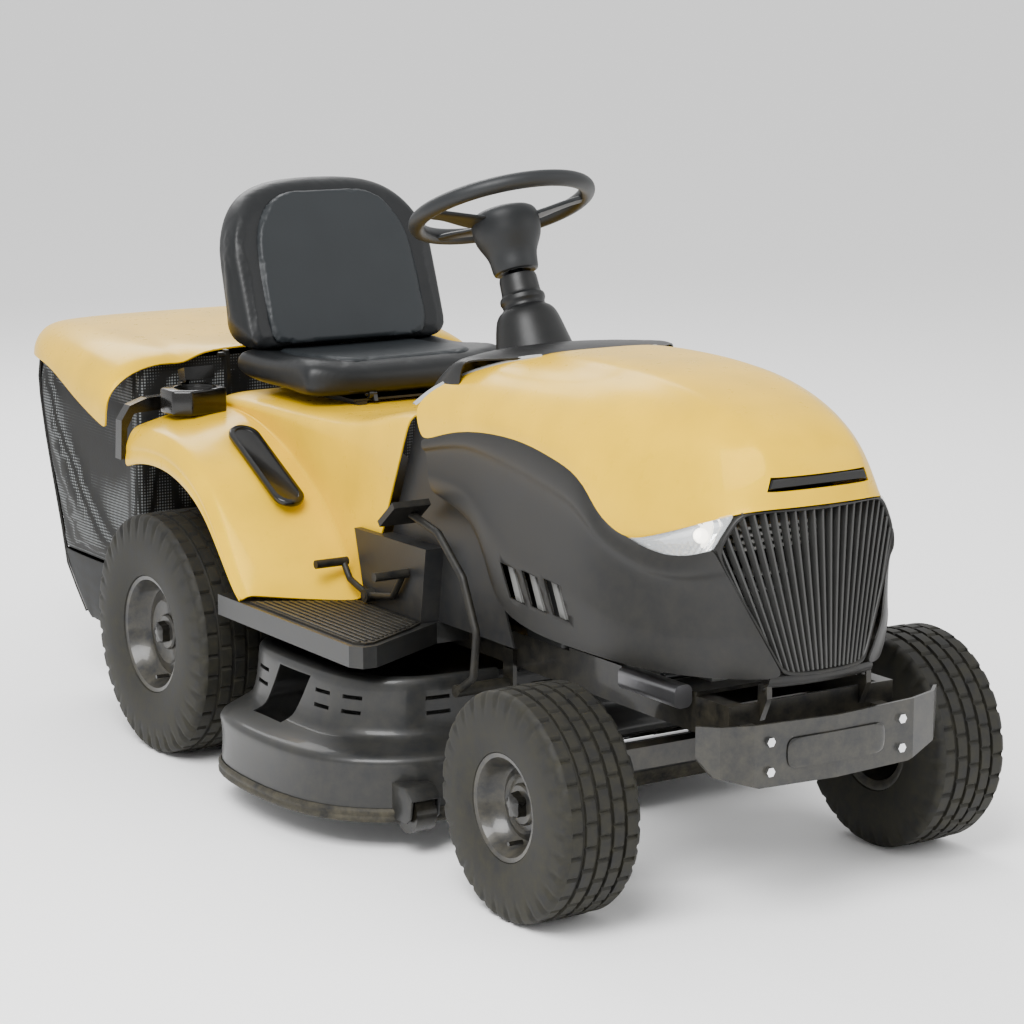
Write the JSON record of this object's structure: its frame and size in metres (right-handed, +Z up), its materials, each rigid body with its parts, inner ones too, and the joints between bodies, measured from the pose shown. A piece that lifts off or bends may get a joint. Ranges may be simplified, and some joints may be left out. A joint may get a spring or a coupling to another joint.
{
  "type": "riding lawn mower",
  "caption": "Rear-collecting riding lawn mower with tilting hood, steered front axle, lifting twin-blade deck, tipping grass collector and seat.",
  "frame": {"origin": "on the ground in the middle of the footprint", "axes": "-Y is the way the machine drives, +X its driver's left, +Z up"},
  "size_m": [1.078, 2.3044, 1.1416],
  "materials": {
    "yellow_paint": "gloss",
    "dark_plastic": "satin",
    "black_plastic": "gloss",
    "frame_paint": "satin",
    "deck_grey": "satin",
    "wheel_paint": "satin",
    "tyre_rubber": "matte",
    "black_rubber": "matte",
    "mat_rubber": "matte",
    "cast_metal": "cast",
    "steel": "satin",
    "chrome_steel": "polished",
    "lamp_glass": "clear",
    "lamp_reflector": "polished",
    "seat_vinyl": "grained vinyl",
    "bag_mesh": "woven mesh",
    "wheel_grip": "soft touch"
  },
  "bodies": {
    "chassis": {"frame_rails": "frame_paint", "front_bumper": "dark_plastic", "bumper_bolts": "chrome_steel", "rear_plate": "frame_paint", "engine_block": "cast_metal", "engine_shroud": "black_plastic", "muffler": "steel", "fuel_tank": "dark_plastic", "battery": "black_plastic", "transaxle": "cast_metal", "discharge_chute": "black_plastic", "dash_console": "dark_plastic", "dash_panel": "dark_plastic", "rear_body": "yellow_paint", "rear_trim": "black_plastic", "fender_mouldings": "black_plastic", "footplates": "deck_grey", "foot_mats": "mat_rubber", "pedal_pedestals": "dark_plastic", "seat_bracket": "frame_paint"},
    "hood": {"hood_shell": "yellow_paint", "side_panel_left": "dark_plastic", "side_panel_right": "dark_plastic", "grille": "dark_plastic", "headlight_lenses": "lamp_glass", "headlight_lamps": "lamp_reflector"},
    "steering": {"steering_wheel": "wheel_grip", "steering_shaft": "steel"},
    "front_axle": {"front_axle_beam": "frame_paint"},
    "knuckle_left": {"spindle_left": "frame_paint"},
    "knuckle_right": {"spindle_right": "frame_paint"},
    "track_rod": {"tie_rod": "steel"},
    "front_wheel_left": {"front_rim_left": "wheel_paint", "front_tyre_left": "tyre_rubber"},
    "front_wheel_right": {"front_rim_right": "wheel_paint", "front_tyre_right": "tyre_rubber"},
    "rear_wheel_left": {"rear_rim_left": "wheel_paint", "rear_tyre_left": "tyre_rubber"},
    "rear_wheel_right": {"rear_rim_right": "wheel_paint", "rear_tyre_right": "tyre_rubber"},
    "brake": {"brake_pedal": "black_rubber"},
    "drive_rocker": {"drive_pedal": "black_rubber"},
    "latch": {"latch_lever": "black_plastic"},
    "throttle": {"throttle_lever": "black_plastic"},
    "key": {"ignition_key": "steel"},
    "pto": {"pto_knob": "black_plastic"},
    "seat_carriage": {"seat_slider": "frame_paint"},
    "seat": {"seat_pan": "frame_paint", "seat_cushion": "seat_vinyl", "seat_back": "seat_vinyl"},
    "deck": {"deck_shell": "deck_grey", "deck_cover": "deck_grey", "deck_strip": "black_rubber", "drive_belt": "black_rubber"},
    "cutter_left": {"blade_left": "steel"},
    "cutter_right": {"blade_right": "steel"},
    "roller_left": {"deck_roller_left": "black_rubber"},
    "roller_right": {"deck_roller_right": "black_rubber"},
    "collector": {"collector_lid": "yellow_paint", "collector_bag": "bag_mesh"}
  },
  "joints": [
    {"name": "hood_tilt", "type": "hinge", "parent": "chassis", "child": "hood", "pos_m": [0, -1.095, 0.382], "axis": [1, 0, 0], "range_deg": [0, 60]},
    {"name": "steering_turn", "type": "hinge", "parent": "chassis", "child": "steering", "pos_m": [0, -0.172, 1.064], "axis": [0, 0.3987, 0.9171], "range_deg": [-270, 270]},
    {"name": "axle_rock", "type": "hinge", "parent": "chassis", "child": "front_axle", "pos_m": [0, -0.8675, 0.235], "axis": [0, 1, 0], "range_deg": [-6, 6]},
    {"name": "steer_left", "type": "hinge", "parent": "front_axle", "child": "knuckle_left", "pos_m": [0.278, -0.8675, 0.235], "axis": [0, 0, 1], "range_deg": [-36, 36]},
    {"name": "steer_right", "type": "hinge", "parent": "front_axle", "child": "knuckle_right", "pos_m": [-0.278, -0.8675, 0.235], "axis": [0, 0, 1], "range_deg": [-36, 36]},
    {"name": "track_rod_swing", "type": "hinge", "parent": "knuckle_right", "child": "track_rod", "pos_m": [-0.278, -0.7775, 0.237], "axis": [0, 0, 1], "range_deg": [-36, 36]},
    {"name": "front_wheel_left_spin", "type": "hinge", "parent": "knuckle_left", "child": "front_wheel_left", "pos_m": [0.3747, -0.8675, 0.188], "axis": [1, 0, 0], "continuous": true},
    {"name": "front_wheel_right_spin", "type": "hinge", "parent": "knuckle_right", "child": "front_wheel_right", "pos_m": [-0.3747, -0.8675, 0.188], "axis": [1, 0, 0], "continuous": true},
    {"name": "rear_wheel_left_spin", "type": "hinge", "parent": "chassis", "child": "rear_wheel_left", "pos_m": [0.38, 0.35, 0.2326], "axis": [1, 0, 0], "continuous": true},
    {"name": "rear_wheel_right_spin", "type": "hinge", "parent": "chassis", "child": "rear_wheel_right", "pos_m": [-0.38, 0.35, 0.2326], "axis": [1, 0, 0], "continuous": true},
    {"name": "brake_press", "type": "hinge", "parent": "chassis", "child": "brake", "pos_m": [-0.275, -0.462, 0.268], "axis": [1, 0, 0], "range_deg": [0, 12], "stiffness_Nm_per_rad": 20},
    {"name": "drive_rock", "type": "hinge", "parent": "chassis", "child": "drive_rocker", "pos_m": [-0.272, -0.15, 0.378], "axis": [1, 0, 0], "range_deg": [-12, 12], "stiffness_Nm_per_rad": 12},
    {"name": "latch_swing", "type": "hinge", "parent": "chassis", "child": "latch", "pos_m": [-0.31, 0.497, 0.684], "axis": [1, 0, 0], "range_deg": [-16, 3], "stiffness_Nm_per_rad": 1.5},
    {"name": "throttle_swing", "type": "hinge", "parent": "chassis", "child": "throttle", "pos_m": [0.13, -0.25865, 0.75923], "axis": [1, 0, 0], "range_deg": [-18, 18]},
    {"name": "key_turn", "type": "hinge", "parent": "chassis", "child": "key", "pos_m": [-0.09, -0.2415, 0.773], "axis": [0, 0.7797, 0.6261], "range_deg": [-90, 0]},
    {"name": "pto_pull", "type": "slide", "parent": "chassis", "child": "pto", "axis": [0, 0.7797, 0.6261], "range_m": [0, 0.008]},
    {"name": "seat_slide", "type": "slide", "parent": "chassis", "child": "seat_carriage", "axis": [0, 1, 0], "range_m": [-0.06, 0]},
    {"name": "seat_tilt", "type": "hinge", "parent": "seat_carriage", "child": "seat", "pos_m": [0, 0.132, 0.6963], "axis": [1, 0, 0], "range_deg": [0, 50]},
    {"name": "deck_lift", "type": "slide", "parent": "chassis", "child": "deck", "axis": [0, 0, 1], "range_m": [-0.03, 0.018]},
    {"name": "blade_left_spin", "type": "hinge", "parent": "deck", "child": "cutter_left", "pos_m": [0.24, -0.215, 0.084], "axis": [0, 0, 1], "continuous": true},
    {"name": "blade_right_spin", "type": "hinge", "parent": "deck", "child": "cutter_right", "pos_m": [-0.24, -0.215, 0.084], "axis": [0, 0, 1], "continuous": true},
    {"name": "roller_left_spin", "type": "hinge", "parent": "deck", "child": "roller_left", "pos_m": [0.378, -0.492, 0.078], "axis": [1, 0, 0], "continuous": true},
    {"name": "roller_right_spin", "type": "hinge", "parent": "deck", "child": "roller_right", "pos_m": [-0.378, -0.492, 0.078], "axis": [1, 0, 0], "continuous": true},
    {"name": "collector_tip", "type": "hinge", "parent": "chassis", "child": "collector", "pos_m": [0, 0.566, 0.728], "axis": [1, 0, 0], "range_deg": [0, 75]}
  ],
  "couplings": [
    {"joint": "steer_left", "follows": "steering_turn", "ratio": 0.13},
    {"joint": "steer_right", "follows": "steering_turn", "ratio": 0.13},
    {"joint": "track_rod_swing", "follows": "steering_turn", "ratio": -0.13},
    {"joint": "blade_right_spin", "follows": "blade_left_spin", "ratio": 1}
  ]
}
